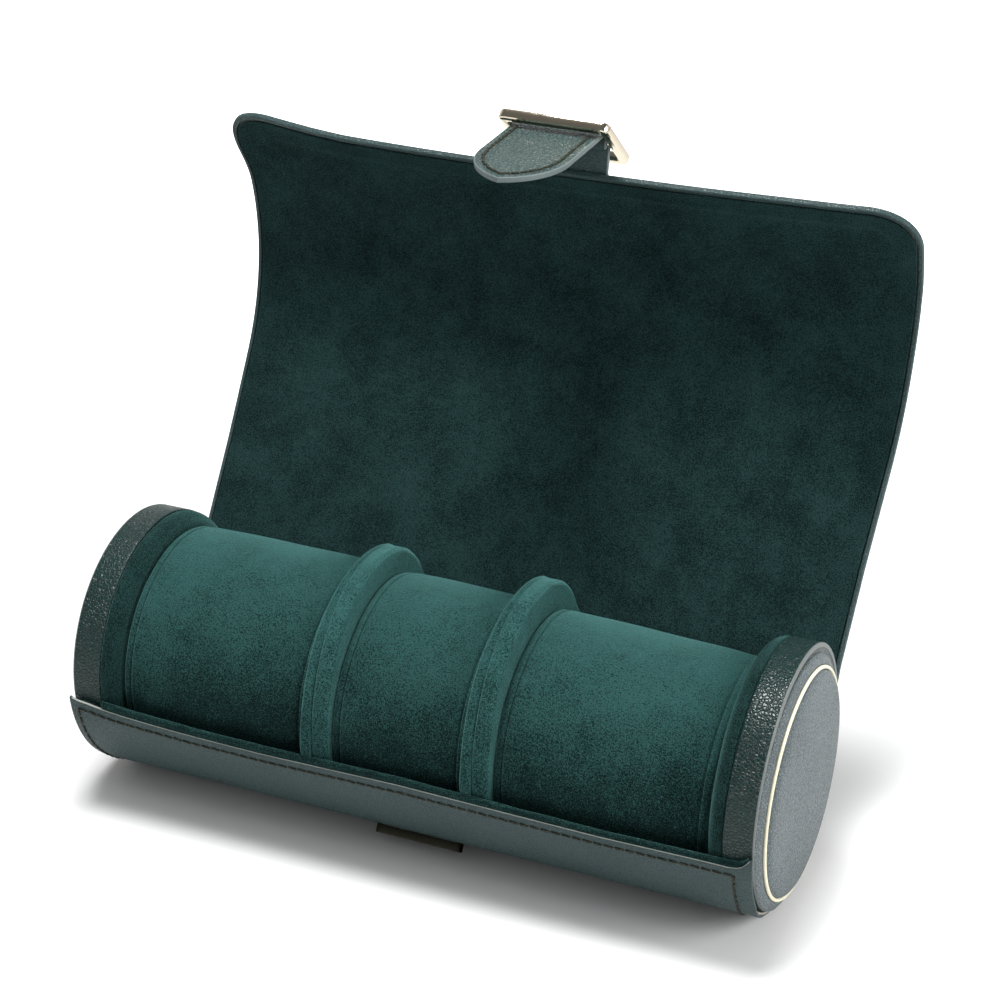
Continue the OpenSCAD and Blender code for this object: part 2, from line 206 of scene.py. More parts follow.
def suede(name, deep, light, place="object", sheen=0.35, clouds=1.0, painted_low_shade=0.0):
    """Brushed suede: clouds where the nap lies another way, and a strong fine speckle.

    Suede with painted low shade gets darker downwards: painted shade on its lower side, away from
    the light above.
    """
    cloth = Finish(name, place)
    brushed = cloth.noise(24, 3, 0.55, cloth.shaken(40, 14))
    strokes = cloth.noise(6, 3, 0.6)
    nap = cloth.noise(0.55, 2, 0.7)
    fleck = cloth.noise(0.36, 1, 0.6)
    # the fine nap and fleck weigh most, which makes the speckle
    share = ((brushed - 0.5) * clouds + (strokes - 0.5) * 0.5 + (nap - 0.5) * 3.6
             + (fleck - 0.5) * 3.0 + 0.45)
    # painted shade: the colour gets darker towards the bottom, where light from above falls less
    if painted_low_shade:
        share = share + (cloth.along("Z").within(*LOW_SHADE_HEIGHTS) - 0.6) * painted_low_shade
    colour = cloth.mix(share.within(-0.1, 1.15), deep, light)
    fibres = cloth.bump(nap * 0.6 + fleck * 0.6, 0.5, 0.9)
    return cloth.surface(
        Base_Color=colour, Roughness=0.95, Normal=fibres, Sheen_Weight=sheen,
        Sheen_Roughness=0.35, Sheen_Tint=(0.35, 0.85, 0.8, 1), Specular_IOR_Level=0.1)


def leather(name, deep, light, place="object", pebble=1.15, depth=0.22, rough=0.34, gloss=0.5):
    """Pebbled leather: rounded grains between creases, each crease painted a little darker as
    painted shade.
    """
    hide = Finish(name, place)
    shaken = hide.shaken(2.6, 1.1)
    grain = hide.cells(pebble, "F1", shaken)
    crease = hide.cells(pebble, "DISTANCE_TO_EDGE", shaken)
    wrinkles = hide.noise(pebble * 2.6, 2, 0.6)
    pores = hide.noise(0.35, 2, 0.6)
    clouds = hide.noise(30, 2, 0.5)
    valley = crease.within(0.0, 0.2)
    height = valley * 0.5 + (1 - grain) * 0.5 + wrinkles * 0.6 + pores * 0.08
    # painted shade: the creases between the grains are coloured darker
    colour = hide.mix((clouds - 0.5) * 0.6 + valley * 0.6 + 0.1, deep, light)
    matt = rough + (1 - valley) * 0.25 + (pores - 0.5) * 0.1
    return hide.surface(
        Base_Color=colour, Roughness=matt, Normal=hide.bump(height, depth),
        Specular_IOR_Level=gloss)


def painted_edge(name, colour, place="object"):
    """The painted cut edge of a strap."""
    paint = Finish(name, place)
    lumps = paint.noise(1.6, 3, 0.6)
    shade = paint.mix(lumps, tuple(0.8 * c for c in colour), tuple(1.15 * c for c in colour))
    return paint.surface(Base_Color=shade, Roughness=0.42 + lumps * 0.15,
                         Normal=paint.bump(lumps, 0.12, 0.6))


def thread(name, deep, light):
    """Twisted thread with light and dark fibres."""
    twist = Finish(name, "flat")
    fibres = twist.noise(0.5, 3, 0.7)
    colour = twist.mix(fibres.within(0.48, 0.72), deep, light)
    return twist.surface(Base_Color=colour, Roughness=0.75, Normal=twist.bump(fibres, 0.1, 0.8))


def metal(name, colour, rough=0.12, tone=0.06):
    """Plated metal with faint polishing marks."""
    plate = Finish(name)
    haze = plate.noise(6, 3, 0.6)
    marks = plate.noise(1.2, 2, 0.6, plate.stretched(0.08, 1, 1))
    shade = plate.mix(haze, tuple(c * (1 - tone) for c in colour), colour)
    return plate.surface(Base_Color=shade, Metallic=1.0, Roughness=rough + haze * 0.06,
                         Normal=plate.bump(marks, 0.01, 0.25))


def dull(name, deep, light, size=3.0, rough=0.85):
    """Board, wood or foam inside the walls."""
    stuff = Finish(name)
    grain = stuff.noise(size, 3, 0.65, stuff.stretched(0.25, 1, 1))
    return stuff.surface(Base_Color=stuff.mix(grain, deep, light), Roughness=rough,
                         Normal=stuff.bump(grain, 0.15, 0.5))


GREEN_LEATHER = leather("green_leather", (0.002, 0.015, 0.0135), (0.008, 0.040, 0.036),
                        pebble=1.2, depth=0.29, rough=0.26)
SHEET_LEATHER = leather("green_leather_sheet", (0.015, 0.040, 0.041), (0.040, 0.082, 0.082),
                        "flat", pebble=0.95)
STRAP_LEATHER = leather("green_leather_strap", (0.008, 0.032, 0.030), (0.078, 0.128, 0.120),
                        "flat", pebble=1.5, depth=0.42, rough=0.33, gloss=0.6)
# painted light: the ends' faces get a lighter copy of the green leather, standing in for the white
# floor's reflection and the light from the right
LIT_FACE_LEATHER = leather("green_leather_face_painted_light", (0.08, 0.103, 0.11), (0.185, 0.228, 0.24),
                       pebble=1.1, depth=0.45, rough=0.36)
# the cushions' and dividers' suede gets painted shade towards the bottom
GREEN_SUEDE = suede("green_suede", (0.0012, 0.009, 0.0085), (0.028, 0.090, 0.085), sheen=0.5,
                    painted_low_shade=1.0)
# painted light: a lighter copy of the green suede for the dividers' rims, which stand up into the
# light from above
LIT_DIVIDER_SUEDE = suede("green_suede_divider_painted_light", (0.002, 0.014, 0.0135), (0.038, 0.122, 0.115),
                      sheen=0.6, painted_low_shade=0.45)
# painted shade: a darker copy of the green suede for the ends' facings
SHADED_FACING_SUEDE = suede("green_suede_facing_painted_shade", (0.0015, 0.008, 0.008), (0.017, 0.054, 0.051))
LINING_SUEDE = suede("suede_lining", (0.003, 0.011, 0.0115), (0.020, 0.053, 0.052), "flat",
                     0.25, 1.6)
CREAM = leather("cream_piping", (0.84, 0.78, 0.55), (0.96, 0.92, 0.74), pebble=0.7, depth=0.04)
EDGE_PAINT = painted_edge("grey_green_edge", (0.15, 0.19, 0.19), "flat")
RAW_EDGE = painted_edge("raw_edge", (0.33, 0.35, 0.32), "flat")
RIM_EDGE = painted_edge("rim_edge", (0.16, 0.18, 0.175))
OLIVE_THREAD = thread("olive_thread", (0.003, 0.005, 0.003), (0.13, 0.135, 0.065))
PALE_GOLD = metal("pale_gold", (0.90, 0.80, 0.62), 0.09)
# painted shade: the keeper's metal gets a dark base colour, standing in for the shaded floor that
# it reflects
SHADED_KEEPER_METAL = metal("keeper_metal_painted_shade", (0.085, 0.083, 0.062), 0.35, 0.2)
GREYBOARD = dull("board", (0.36, 0.33, 0.28), (0.5, 0.47, 0.4))
WOOD = dull("wood_core", (0.42, 0.29, 0.17), (0.62, 0.47, 0.3), 2.0, 0.7)
FOAM = dull("foam", (0.7, 0.69, 0.62), (0.86, 0.85, 0.79), 0.6, 0.95)


# ------ making pieces

def put(name, data):
    """A new object in the scene."""
    made = bpy.data.objects.new(name, data)
    bpy.context.scene.collection.objects.link(made)
    return made


def finish_piece(name, bm, materials, sharp):
    """Turns millimetres from the roll's axis into the CAD's metres and makes the object."""
    bmesh.ops.transform(bm, verts=bm.verts, matrix=Matrix.Scale(MM, 4)
                        @ Matrix.Translation((0, 0, AXIS_H)))
    mesh = bpy.data.meshes.new(name)
    bm.to_mesh(mesh)
    bm.free()
    for material in materials:
        mesh.materials.append(material)
    mesh.shade_smooth()
    mesh.set_sharp_from_angle(angle=math.radians(sharp))
    piece = put(name, mesh)
    return piece


def smooth(value, low, high):
    """0 below low, 1 above high and an even curve between."""
    share = min(max((value - low) / (high - low), 0.0), 1.0)
    return share * share * (3 - 2 * share)


def arc(across, along, radius, start, end, steps):
    """Points on part of a circle, angles in degrees from the first direction to the second."""
    turns = [math.radians(start + (end - start) * i / steps) for i in range(steps + 1)]
    return [(across + radius * math.cos(a), along + radius * math.sin(a)) for a in turns]


def lathe(points, steps=144):
    """Spins (radius, x) points about the roll's axis into a closed body."""
    bm = bmesh.new()
    line = [bm.verts.new((x, 0, radius)) for radius, x in points]
    edges = [bm.edges.new(pair) for pair in zip(line, line[1:])]
    bmesh.ops.spin(bm, geom=line + edges, cent=(0, 0, 0), axis=(1, 0, 0), dvec=(0, 0, 0),
                   angle=TURN, steps=steps, use_merge=True, use_duplicate=False)
    bmesh.ops.remove_doubles(bm, verts=bm.verts, dist=0.001)
    bmesh.ops.recalc_face_normals(bm, faces=bm.faces)
    return bm


def mirrored(bm, side):
    """The same body at the other end of the roll when side is -1."""
    if side < 0:
        bmesh.ops.scale(bm, vec=(-1, 1, 1), verts=bm.verts)
        bmesh.ops.reverse_faces(bm, faces=bm.faces)
    return bm


# ------ the line of the wrap

class Section:
    """A sheet's line seen from the end, by the distance s along it from the flap's fold."""

    def __init__(self, points):
        self.s, self.y, self.z = np.array(sorted(points)).T
        along_y, along_z = np.gradient(self.y, self.s), np.gradient(self.z, self.s)
        length = np.hypot(along_y, along_z)
        self.in_y, self.in_z = -along_z / length, along_y / length
        self.end = self.s[-1]

    def at(self, s, depth=0.0):
        """The point at distance s, depth millimetres in from the leather's outer face."""
        in_y, in_z = np.interp(s, self.s, self.in_y), np.interp(s, self.s, self.in_z)
        size = math.hypot(in_y, in_z)
        return (float(np.interp(s, self.s, self.y) + depth * in_y / size),
                float(np.interp(s, self.s, self.z) + depth * in_z / size))

    def spot(self, s, depth=0.0):
        """That point in the model's metres."""
        y, z = self.at(s, depth)
        return (0, y * MM, (z + AXIS_H) * MM)


def on_round(angle):
    """The point of the leather's outer circle at an angle up from the back."""
    return SKIN_R * math.cos(angle), SKIN_R * math.sin(angle)


# the flap leans back, runs straight and then curls forward
FLAP_LEAN = math.radians(37)
FLAP_STRAIGHT = 84
FLAP_R = 90
FLAP_END = 190.8
# the fold is soft this far to both sides
FOLD_REACH = 8
FOLD_LOW = HINGE - FOLD_REACH / SKIN_R
FOLD_Y, FOLD_Z = on_round(HINGE)
# lines run on past both ends of the sheet
PAST_END = 12
PAST_FRONT = FRONT - TURN - 0.12
STEP = 1.0


def flap_line(s):
    """The outer face of the flap: straight, then curled forward."""
    lean = FLAP_LEAN
    straight = min(s, FLAP_STRAIGHT)
    y, z = FOLD_Y + math.sin(lean) * straight, FOLD_Z + math.cos(lean) * straight
    if s > FLAP_STRAIGHT:
        centre_y, centre_z = y - FLAP_R * math.cos(lean), z + FLAP_R * math.sin(lean)
        lean -= (s - FLAP_STRAIGHT) / FLAP_R
        y, z = centre_y + FLAP_R * math.cos(lean), centre_z - FLAP_R * math.sin(lean)
    return y, z


def fold_points():
    """A soft bend between the round tray and the straight flap."""
    start, end = on_round(FOLD_LOW), flap_line(FOLD_REACH)
    reach = math.dist(start, end)
    pull0 = (-math.sin(FOLD_LOW) * reach, math.cos(FOLD_LOW) * reach)
    pull1 = (math.sin(FLAP_LEAN) * reach, math.cos(FLAP_LEAN) * reach)
    points = []
    for i in range(2 * FOLD_REACH + 1):
        t = i / (2 * FOLD_REACH)
        a, b = 2 * t**3 - 3 * t**2 + 1, t**3 - 2 * t**2 + t
        c, d = 3 * t**2 - 2 * t**3, t**3 - t**2
        points.append((i - FOLD_REACH, *(a * start[n] + b * pull0[n] + c * end[n] + d * pull1[n]
                                         for n in (0, 1))))
    return points


def upper_points():
    """The fold and the flap, shared by every layer."""
    steps = int((FLAP_END + PAST_END - FOLD_REACH) / STEP)
    rows = [FOLD_REACH + (i + 1) * STEP for i in range(steps)]
    return fold_points() + [(s, *flap_line(s)) for s in rows]


def round_points(angle, stop):
    """Points a step apart round the leather's outer circle, down from one angle past another."""
    points = []
    while angle > stop:
        angle -= STEP / SKIN_R
        points.append(on_round(angle))
    return points


def round_section():
    """The line of the board and lining: the tray is round all the way."""
    line = round_points(FOLD_LOW, PAST_FRONT)
    return Section([(-FOLD_REACH - STEP * (n + 1), *spot) for n, spot in enumerate(line)]
                   + upper_points())


# the leather leaves the round, turns softly at the heel and lies flat on the floor
HEEL_LEAVE = math.radians(-52)
HEEL_Y = 19
HEEL_SOFT = 5
HEEL_STEPS = 8
FLOOR_Z = -AXIS_H


def measured(spots, s, way):
    """Puts the distance along the line in front of each of its points."""
    points = [(s, *spots[0])]
    for last, spot in zip(spots, spots[1:]):
        s += way * math.dist(spot, last)
        points.append((s, *spot))
    return points


def points_between(first, last, steps):
    """Points on a straight line, without its first."""
    return [tuple(first[i] + (last[i] - first[i]) * n / steps for i in (0, 1))
            for n in range(1, steps + 1)]


def wrap_section():
    """The line of the outer leather, which also goes round the heel and the flat."""
    line = round_points(FOLD_LOW, HEEL_LEAVE)
    leave = line[-1]
    corner = (HEEL_Y, FLOOR_Z)
    back = math.dist(leave, corner)
    soft0 = [corner[i] + (leave[i] - corner[i]) * HEEL_SOFT / back for i in (0, 1)]
    soft1 = (HEEL_Y - HEEL_SOFT, FLOOR_Z)
    line += points_between(leave, soft0, int((back - HEEL_SOFT) / STEP))
    for n in range(1, HEEL_STEPS + 1):
        t = n / HEEL_STEPS
        line.append(tuple((1 - t)**2 * soft0[i] + 2 * t * (1 - t) * corner[i] + t * t * soft1[i]
                          for i in (0, 1)))
    flat_end = -math.sqrt(SKIN_R**2 - FLOOR_Z**2)
    line += points_between(soft1, (flat_end, FLOOR_Z), int((soft1[0] - flat_end) / STEP))
    line += round_points(math.atan2(FLOOR_Z, flat_end), PAST_FRONT)
    return Section(measured([on_round(FOLD_LOW), *line], -FOLD_REACH, -1)[1:] + upper_points())


ROUND = round_section()
WRAP = wrap_section()


def front_of(section):
    """The distance s of the tray's front edge on a line."""
    angles = np.unwrap(np.arctan2(section.z, section.y)[::-1])[::-1]
    below = section.s < -FOLD_REACH
    target = FRONT - TURN
    return float(np.interp(target, angles[below], section.s[below]))


ROUND_FRONT = front_of(ROUND)
WRAP_FRONT = front_of(WRAP)

# half the width of the sheet as it was measured in the photo's view, by s
WIDTH_AT = ((-175, 138.2), (-145, 137.6), (-118, 135.0), (-35, 134.9), (0, 136.6), (45, 137.4),
            (88, 138.9), (130, 140.3), (160, 141.7), (200, 142.4))

# how far the tray's front edge rises or dips along the roll, with an ear at each end
FRONT_RISE = ((-138.5, 5.5), (-137, 3.7), (-134.5, 2.9), (-128.5, 1.8), (-121, 0.6), (-107, -0.4),
              (-86, -1.3), (-56, -1.7), (-26, -1.1), (0, -0.5), (40, -1.2), (81, -1.8),
              (119, -1.1), (130, -1.2), (133, -0.4), (134.7, 0.6), (136.6, 2.8), (138.5, 5.8))


# where the left corner starts to stray and where it has strayed fully, across and along the
# sheet, and how far it goes
STRAY_ACROSS, STRAY_ALONG = (88, 149), (158, 193)
STRAY_X, STRAY_S, STRAY_LIFT = -13.6, -1.3, -7.9
# the bow of the free edge: its rise, where it starts, its middle, its half width
BOW, BOW_FROM, BOW_MIDDLE, BOW_HALF, BOW_LESS_LEFT = 4.4, 110, -22, 130, 0.12
WAVE, WAVE_RATE, WAVE_GROWS = 0.5, 0.02, (10, 60)
EAR_FLARE, EAR_FROM = 0.35, 129.5
# the front edge's shape fades out between these distances from it
EDGE_FADES = (24, 2)


def bend_sheet(bm, section):
    """Bends a flat sheet to its line, and adds the drape that the real one has."""
    flat = bm.verts.layers.float_vector.new("flat")
    s_known, w_known = zip(*WIDTH_AT)
    front = front_of(section)
    for vert in bm.verts:
        x, s, depth = vert.co
        vert[flat] = vert.co * MM
        share = x / HALF_W
        # the left corner stands up and out of the curl that the rest of the edge has
        stray = smooth(-x, *STRAY_ACROSS) * smooth(s, *STRAY_ALONG)
        # the free edge bows up towards both corners
        bow = ((x - BOW_MIDDLE) / BOW_HALF) ** 2 * (1 - BOW_LESS_LEFT * (x < 0))
        s += BOW * smooth(s, BOW_FROM, FLAP_END) * bow
        s += STRAY_S * stray
        lift = STRAY_LIFT * stray
        # a slow wave along the flap, as soft leather has
        lift += (smooth(s, *WAVE_GROWS) * WAVE
                 * noise.noise((x * WAVE_RATE, s * WAVE_RATE, 3.1)))
        # the uneven front edge of the tray, and its ears
        near = smooth(-s, *(-front - fade for fade in EDGE_FADES))
        s -= near * float(np.interp(x, *zip(*FRONT_RISE)))
        lift -= EAR_FLARE * near * smooth(abs(x), EAR_FROM, HALF_W)
        y, z = section.at(s, depth + lift)
        vert.co = (share * float(np.interp(s, s_known, w_known)) + STRAY_X * stray, y, z)
    return bm


# ------ flat sheets

def cut_across(bm, spot, direction, **keep):
    """Cuts a piece along a plane."""
    bmesh.ops.bisect_plane(bm, geom=bm.verts[:] + bm.edges[:] + bm.faces[:], dist=1e-4,
                           plane_co=spot, plane_no=direction, **keep)


def cut_flat(bm, places, across):
    """Cuts lines over a flat piece so that it can bend."""
    for s in places:
        cut_across(bm, (0, s, 0), (0, 1, 0))
    for x in across:
        cut_across(bm, (x, 0, 0), (1, 0, 0))


def portion(bm, start, end):
    """The closed part of a flat piece between two distances."""
    part = bm.copy()
    for s, direction in ((start, -1), (end, 1)):
        cut_across(part, (0, s, 0), (0, direction, 0), clear_outer=True)
        rim = [edge for edge in part.edges if edge.is_boundary]
        if rim:
            bmesh.ops.holes_fill(part, edges=rim, sides=0)
    return part


def drop(edge, axis=2):
    """How far an edge goes down, or along another axis."""
    return abs(edge.verts[0].co[axis] - edge.verts[1].co[axis])


def level_edges(bm):
    """The edges round the top and the bottom of a slab."""
    return [edge for edge in bm.edges if drop(edge) < 1e-4]


def round_off(bm, parts, offset, segments, material=-1, clamp=False, affect="EDGES"):
    """Rounds edges or corners over."""
    bmesh.ops.bevel(bm, geom=parts, offset=offset, offset_type="OFFSET", segments=segments,
                    profile=0.5, affect=affect, material=material, clamp_overlap=clamp)


def thicken(bm, rise):
    """Draws flat faces up into a closed slab."""
    made = bmesh.ops.extrude_face_region(bm, geom=bm.faces[:])
    top = [item for item in made["geom"] if isinstance(item, bmesh.types.BMVert)]
    bmesh.ops.translate(bm, verts=top, vec=(0, 0, rise))
    bmesh.ops.recalc_face_normals(bm, faces=bm.faces)


def flat_sheet(start, end, depth0, depth1, inset, corner, soft):
    """A flat sheet with two rounded corners at its far end and softened edges."""
    half = HALF_W - inset
    bm = bmesh.new()
    corners = [bm.verts.new((side * half, s, depth0))
               for side, s in ((-1, start), (1, start), (1, end), (-1, end))]
    bm.faces.new(corners)
    if corner:
        round_off(bm, corners[2:], corner, 14, affect="VERTICES")
    thicken(bm, depth1 - depth0)
    if soft:
        round_off(bm, level_edges(bm), soft, 3, clamp=True)
    return bm


def inner_face(bm):
    """The large face towards the inside of the roll."""
    return max(bm.faces, key=lambda face: (round(face.calc_center_median().z, 3),
                                           face.calc_area()))


def step_in(bm, steps):
    """Draws the inner face in and down, step by step."""
    face = inner_face(bm)
    for thickness, depth in steps:
        bmesh.ops.inset_region(bm, faces=[face], thickness=thickness, depth=depth,
                               use_even_offset=True)
    return bm


# where the flap's pieces are cut, the bends between its strips and how far each bend reaches
CUTS = (-8, 11, 37.5, 68.5, 101.8, 137.4, FLAP_END + 6)
BENDS = (0, 22, 53, 84, 119.6, 155.2)
REACH = (7.5, 10.5, 15, 15, 17, 17)
CORNER = 20
# width of the turned-over leather, and how far the lining and the board lie in from its edge
GROOVE = 1.5
LINING_IN = GROOVE + 0.75
BOARD_IN = GROOVE + 1
# added beyond the first cut, which takes it off again
SPARE = 5


def rows_between(start, end, step=2.4):
    """Rows for bending, with one close to each cut so that shading runs on."""
    rows = {start + step * n for n in range(1, int((end - start) / step) + 1)}
    for cut in CUTS:
        rows |= {cut - 0.3, cut + 0.3}
    return sorted(s for s in rows if start < s < end)


def columns(step=11.5):
    """Lines across which the drape can change, closer at the ears."""
    count = int(HALF_W / step)
    ears = [124, 129, 131, 133, 134.5, 135.8, 137, 138]
    return sorted([step * n for n in range(-count, count + 1)] + ears + [-x for x in ears])


def leather_sheet():
    """The flap's leather, turned over round the board and down into a groove."""
    edge, soft = WALL - 0.15, 0.6
    bm = flat_sheet(CUTS[0] - SPARE, FLAP_END, 0, edge, 0, CORNER, soft)
    return step_in(bm, ((GROOVE - soft, 0), (0.3, LEATHER - edge)))


def tray_leather():
    """The tray's leather: one thickness with a raw edge along the front and the ends."""
    bm = flat_sheet(CUTS[0], WRAP_FRONT, 0, LEATHER, 0, 1.8, 0)
    for face in bm.faces:
        face.material_index = int(face.normal.y < -0.9 or face.normal.x < -0.9)
    round_off(bm, level_edges(bm), 0.3, 2)
    return bm


def board_sheet():
    """The flap's board, from just before the fold."""
    return flat_sheet(-2, FLAP_END - BOARD_IN, LEATHER + 0.02, LEATHER + BOARD - 0.02,
                      BOARD_IN, CORNER - BOARD_IN, 0)


def lining_sheet():
    """The flap's suede, with the step that the turned-over leather makes under its edge."""
    bm = flat_sheet(CUTS[0] - SPARE, FLAP_END - LINING_IN, LEATHER + BOARD, WALL + 0.1,
                    LINING_IN, CORNER - LINING_IN, 0.33)
    return step_in(bm, ((6.0, 0), (1.2, -0.12), (1.2, -0.2)))


def tray_lining():
    """The suede inside the tray."""
    return flat_sheet(CUTS[0], ROUND_FRONT + 0.4, LEATHER + BOARD, WALL - 0.2, LINING_IN, 0, 0)


def make_tray():
    """The round part of the wrap, which belongs to the case."""
    for layer, bm, section, front, materials, slot in (
            ("leather", tray_leather(), WRAP, WRAP_FRONT, [SHEET_LEATHER, RAW_EDGE],
             "green_leather"),
            ("lining", tray_lining(), ROUND, ROUND_FRONT, [LINING_SUEDE], "suede_lining")):
        cut_flat(bm, rows_between(front - 1, CUTS[0]), columns())
        piece = finish_piece(f"tray_{layer}_sheet", bend_sheet(bm, section), materials, 50)
        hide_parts(f"tray_{layer}")
        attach(piece, "case")


LIP_LEFT, LIP_RIGHT = -125.4, 136.6
LIP_BELOW, LIP_ABOVE = 0.8, 2.9


def make_lip():
    """The suede roll along the tray's front that covers the end of the board."""
    bm = flat_sheet(ROUND_FRONT + LIP_BELOW, ROUND_FRONT - LIP_ABOVE, 0.5, WALL + 0.05,
                    HALF_W - (LIP_RIGHT - LIP_LEFT) / 2, 0, 0.85)
    bmesh.ops.translate(bm, verts=bm.verts, vec=((LIP_LEFT + LIP_RIGHT) / 2, 0, 0))
    cut_flat(bm, [ROUND_FRONT - 0.5 * n for n in range(-1, 5)],
             [x for x in columns(4) if LIP_LEFT < x < LIP_RIGHT])
    for vert in bm.verts:
        above = min(vert.co.y - ROUND_FRONT, 0)
        # the lip gets lower to the right
        lower = 0.42 * smooth(vert.co.x, -60, 110)
        uneven = 0.16 * noise.noise((vert.co.x * 0.09, 2.0, 0.0))
        vert.co.y -= above * (lower + uneven)
    piece = finish_piece("tray_lip", bend_sheet(bm, ROUND), [GREEN_SUEDE], 60)
    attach(piece, "case")


def make_flap():
    """Leather, board and lining of the flap, each cut where the strips' middles are."""
    sheets = (("leather", leather_sheet(), WRAP, SHEET_LEATHER, "green_leather"),
              ("lining", lining_sheet(), ROUND, LINING_SUEDE, "suede_lining"),
              ("board", board_sheet(), ROUND, GREYBOARD, "board"))
    for layer, bm, section, material, slot in sheets:
        cut_flat(bm, rows_between(CUTS[0] - 4, FLAP_END), columns())
        for k in range(1, 7):
            part = bend_sheet(portion(bm, CUTS[k - 1], CUTS[k]), section)
            piece = finish_piece(f"flap_{k}_{layer}_sheet", part, [material], 50)
            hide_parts(f"flap_{layer}_{k}")
            bend, reach = BENDS[k - 1], REACH[k - 1]
            section.spot(bend - reach, WALL / 2)
            section.spot(bend + reach, WALL / 2)
            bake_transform(piece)
        bm.free()


make_tray()
make_lip()
make_flap()


# ------ stitches

# how far each stitch turns from its seam and dips at one end, in radians
STITCH_SLANT, STITCH_DIP = 0.10, 0.03


def stitch(length, width, height):
    """One short stitch along Y, in flat millimetres."""
    bm = bmesh.new()
    bmesh.ops.create_cone(bm, cap_ends=True, segments=6, radius1=width / 2, radius2=width / 2,
                          depth=length, matrix=Matrix.Rotation(math.pi / 2, 4, "X"))
    ends = [face for face in bm.faces if abs(face.normal.y) > 0.9]
    bmesh.ops.inset_region(bm, faces=ends, thickness=width * 0.22, depth=0.25)
    bmesh.ops.scale(bm, vec=(1, 1, height / width), verts=bm.verts)
    return bm


def sew(path, pitch, depth, **size):
    """Stitches along flat points (x, s), lying at a depth."""
    bm = bmesh.new()
    mesh = bpy.data.meshes.new("stitch")
    one = stitch(**size)
    one.to_mesh(mesh)
    one.free()
    for (x0, s0), (x1, s1) in zip(path, path[1:]):
        run = math.hypot(x1 - x0, s1 - s0)
        count = max(1, round(run / pitch))
        turn = math.atan2(s1 - s0, x1 - x0) - math.pi / 2
        for n in range(count):
            t = (n + 0.5) / count
            before = len(bm.verts)
            bm.from_mesh(mesh)
            bm.verts.ensure_lookup_table()
            new = bm.verts[before:]
            lie = (Matrix.Translation((x0 + (x1 - x0) * t, s0 + (s1 - s0) * t, depth))
                   @ Matrix.Rotation(turn + STITCH_SLANT, 4, "Z")
                   @ Matrix.Rotation(STITCH_DIP, 4, "X"))
            bmesh.ops.transform(bm, verts=new, matrix=lie)
    bpy.data.meshes.remove(mesh)
    return bm


def make_tray_stitches():
    """The seam below the tray's front edge, turning down near both ends."""
    line, back = WRAP_FRONT + 3.5, -60
    left, right = 3.2 - HALF_W, HALF_W - 6.9
    bm = sew([(left, back), (left, line), (right, line), (right, back)], 4.1, -0.05,
             length=3.0, width=1.1, height=0.95)
    piece = finish_piece("tray_stitches", bend_sheet(bm, WRAP), [OLIVE_THREAD],
                         60)
    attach(piece, "case")


make_tray_stitches()


# ------ round ends

# the padded face and its cord sit a little low and to the front in their rim
COVER_SINK = (0, -1.3, -1.3)
BAND_IN = 44
RIM_IN = 48.1
RIM_ROUND = 0.65


def make_ends():
    """Suede facing, leather band, padded face and light cord of both ends."""
    # outlines as (radius, x), then materials, slot and the CAD node
    shapes = {
        "end_facing_pad": (
            [(0, 119.0), (38, 119.0), (43.0, 119.2)] + arc(44.2, 124.9, 5.6, -88, -4, 10)
            + [(49.75, 125.4), (49.2, 125.95), (0, 126.15)],
            [SHADED_FACING_SUEDE], "green_suede", "end_facing"),
        "end_band": (
            [(BAND_IN, BAND_X - 0.2), (49.6, BAND_X - 0.2)]
            + arc(49.55, BAND_X + 0.25, 0.45, -90, 0, 3)
            + [(50, 129), (50, 131), (50, 133), (50, 135)]
            + arc(49.35, END_X - 0.4, RIM_ROUND, 0, 90, 5)
            + arc(48.55, END_X - 0.4, RIM_ROUND, 90, 140, 4)
            + [(47.9, END_X + 0.03), (BAND_IN, END_X + 0.03), (BAND_IN, BAND_X - 0.2)],
            [GREEN_LEATHER, RIM_EDGE], "green_leather", "end_rim"),
        "end_cover": (
            [(0, END_X - 1), (47.3, END_X - 1), (47.9, 136.9), (48.05, 137.4), (47.9, 137.9),
             (47.2, 138.35), (46, 138.95), (44.9, 139.5), (44.35, 139.65), (43.95, 139.45),
             (43.6, 139.2), (42.9, 139.2), (42.55, 139.6), (42.25, 140.4), (41.7, 141.2),
             (40.8, 141.75), (39, 142.1), (34, 142.5), (25, 142.8), (12, 143.0), (0, 143.05)],
            [LIT_FACE_LEATHER], "green_leather", "end_face"),
        "end_cord": (
            arc(43.25, 140.05, 0.7, 0, 360, 12), [CREAM], "cream_piping", "end_piping"),
    }
    for name, side in SIDES:
        for shape, (points, materials, slot, node) in shapes.items():
            bm = mirrored(lathe(points, 180), side)
            if shape in ("end_cover", "end_cord"):
                bmesh.ops.translate(bm, verts=bm.verts, vec=COVER_SINK)
            if shape == "end_band":
                for face in bm.faces:
                    middle = face.calc_center_median()
                    face.material_index = int(abs(middle.x) > END_X - 0.3
                                              and middle.yz.length > RIM_IN)
            piece = finish_piece(f"{name}_{shape}", bm, materials, 50)
            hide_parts(f"{name}_{node}")
            if shape == "end_cover":
                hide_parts(f"{name}_end_pad")
            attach(piece, "case")
            shape in ("end_facing_pad", "end_cover")


make_ends()


# ------ dividers

# each divider reaches from DIVIDER_LEFT to DIVIDER_RIGHT of its own line, with a seam between
DIVIDER_X = 32.5
DIVIDER_R = 49.7
DIVIDER_LEFT, DIVIDER_SEAM, DIVIDER_RIGHT = -7.3, -2.9, 3.6

